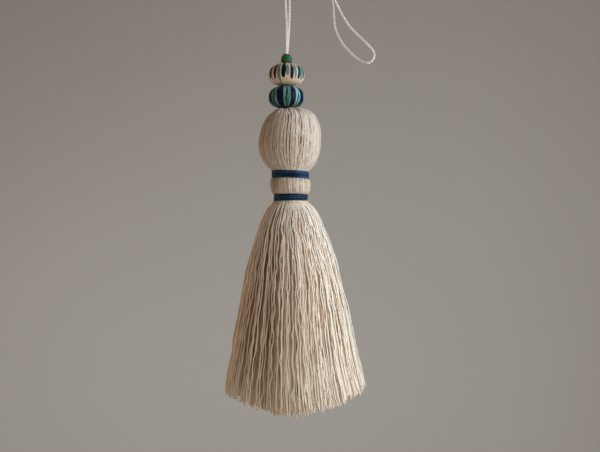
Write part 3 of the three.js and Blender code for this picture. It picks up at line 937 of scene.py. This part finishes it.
# The ground shows wood grain where the paint gives it, and otherwise the brush's own streaks
def makeStripedMaterial(paint):
    material, make, shader = newMaterial(paint["name"])
    around, up, coords, brush = beadMap(make)
    texture = brush
    if "grainScale" in paint:
        stretched = make.vector("MULTIPLY", coords, paint["grainStretch"])
        texture = make.noise(stretched, paint["grainScale"], 4.0)
    colour = mixColour(make, make.ease(texture, *paint["groundRange"]), *paint["ground"])
    raised = 0.0
    for coat in paint["coats"]:
        laid = 0.0
        for settings in coat["strokes"]:
            laid = make.math("MAXIMUM", laid, strokes(make, around, up, settings))
        cover = make.times(laid, make.ease(brush, *coat["cover"]))
        colour = mixColour(make, cover, colour, coat["colour"])
        if coat["raised"]:
            raised = make.math("MAXIMUM", raised, laid)
    relief = make.plus(raised, make.times(brush, paint["streakRelief"]))
    finishPaint(make, shader, colour, relief, brush, paint)
    return material


def makeGreenMaterial(paint):
    material, make, shader = newMaterial("greenPaint")
    _, _, coords, brush = beadMap(make)
    blotch = make.noise(coords, paint["blotchScale"], 3.0)
    colour = mixColour(make, make.ease(brush, *paint["paleRange"]), paint["deep"], paint["pale"])
    colour = mixColour(make, make.ease(blotch, *paint["blotchRange"]), colour, paint["blotch"])
    finishPaint(make, shader, colour, make.plus(brush, blotch), brush, paint)
    return material


makeBead("greenBead", "bead_green", "green_paint", greenBead, makeGreenMaterial(greenPaint))
makeBead("creamBead", "bead_cream", "cream_paint", creamBead, makeStripedMaterial(creamPaint))
makeBead("tealBead", "bead_teal", "teal_paint", tealBead, makeStripedMaterial(tealPaint))


studioSettings = dict(
    floorHeight=-1.0, wallDepth=1.3, bend=0.45, bendSteps=12, halfWidth=2.5, front=-1.6, top=2.2,
    wallColour=(0.345, 0.342, 0.322, 1), floorColour=(0.8, 0.76, 0.7, 1), fade=(0.3, 0.05),
    mottleScale=2.0, mottleShade=0.94, roughness=0.95,
    worldColour=(0.47, 0.33, 0.24, 1), worldStrength=0.53,
)
lights = dict(
    keyLight=dict(
        place=(1.085, -0.46, -0.04), target=(0, 0, -0.15), size=(1.2, 1.3), power=12.0,
        colour=(1.0, 0.985, 0.955),
    ),
    skyLight=dict(
        place=(0.9, -0.12, 0.35), target=(0, 0, -0.12), size=(0.6, 0.6), power=4.2,
        colour=(0.62, 0.82, 1.0),
    ),
    fillLight=dict(
        place=(-1.0, -0.15, -0.45), target=(0, 0, -0.2), size=(0.8, 1.0), power=1.2,
        colour=(1.0, 0.74, 0.52),
    ),
    hemLight=dict(
        place=(-0.03, -0.36, -0.5), target=(0, 0, -0.27), size=(0.3, 0.15), power=0.16,
        colour=(1.0, 0.88, 0.68),
    ),
    wallLight=dict(
        place=(-0.25, 0.28, -0.52), target=(0, 1.3, -0.35), size=(1.8, 0.7), power=6.5,
        colour=(0.97, 0.98, 1.0),
    ),
)


def makeStudio(settings):
    material, make, shader = newMaterial("studioPaper")
    coords = make.add("ShaderNodeTexCoord").outputs["Object"]
    mottle = make.noise(coords, settings["mottleScale"], 3.0)
    darker = tuple(channel * settings["mottleShade"] for channel in settings["wallColour"][:3]) + (1,)
    wall = mixColour(make, mottle, settings["wallColour"], darker)
    floor, fade = settings["floorHeight"], settings["fade"]
    lowness = make.ease(make.split(coords)[2], floor + fade[0], floor + fade[1])
    colour = mixColour(make, lowness, wall, settings["floorColour"])
    make.feed(shader, {"Base Color": colour, "Roughness": settings["roughness"]})
    depth, bend, bendSteps = settings["wallDepth"], settings["bend"], settings["bendSteps"]
    line = [(settings["front"], floor)]
    for step in range(bendSteps + 1):
        angle = math.pi / 2 * step / bendSteps
        line.append((depth - bend * (1 - math.sin(angle)), floor + bend * (1 - math.cos(angle))))
    line.append((depth, settings["top"]))
    vertices = [(side * settings["halfWidth"], y, z) for y, z in line for side in (-1, 1)]
    faces = [(2 * i, 2 * i + 1, 2 * i + 3, 2 * i + 2) for i in range(len(line) - 1)]
    mesh = bpy.data.meshes.new("studioFloor")
    mesh.from_pydata(vertices, [], faces)
    mesh.shade_smooth()
    addPiece("studioFloor", mesh, material)
    world = bpy.data.worlds.new("studioWorld")
    bpy.context.scene.world = world
    world.use_nodes = True
    background = world.node_tree.nodes["Background"]
    background.inputs["Color"].default_value = settings["worldColour"]
    background.inputs["Strength"].default_value = settings["worldStrength"]
    bpy.context.scene.view_settings.view_transform = "Standard"


def addLight(name, settings):
    data = bpy.data.lights.new(name, "AREA")
    data.shape = "RECTANGLE"
    data.size, data.size_y = settings["size"]
    data.energy = settings["power"]
    data.color = settings["colour"]
    lamp = bpy.data.objects.new(name, data)
    lamp.location = settings["place"]
    aim = Vector(settings["target"]) - lamp.location
    lamp.rotation_euler = aim.to_track_quat("-Z", "Y").to_euler()
    lamp.visible_camera = False
    bpy.context.scene.collection.objects.link(lamp)


makeStudio(studioSettings)
for name, settings in lights.items():
    addLight(name, settings)
print("studio lit")
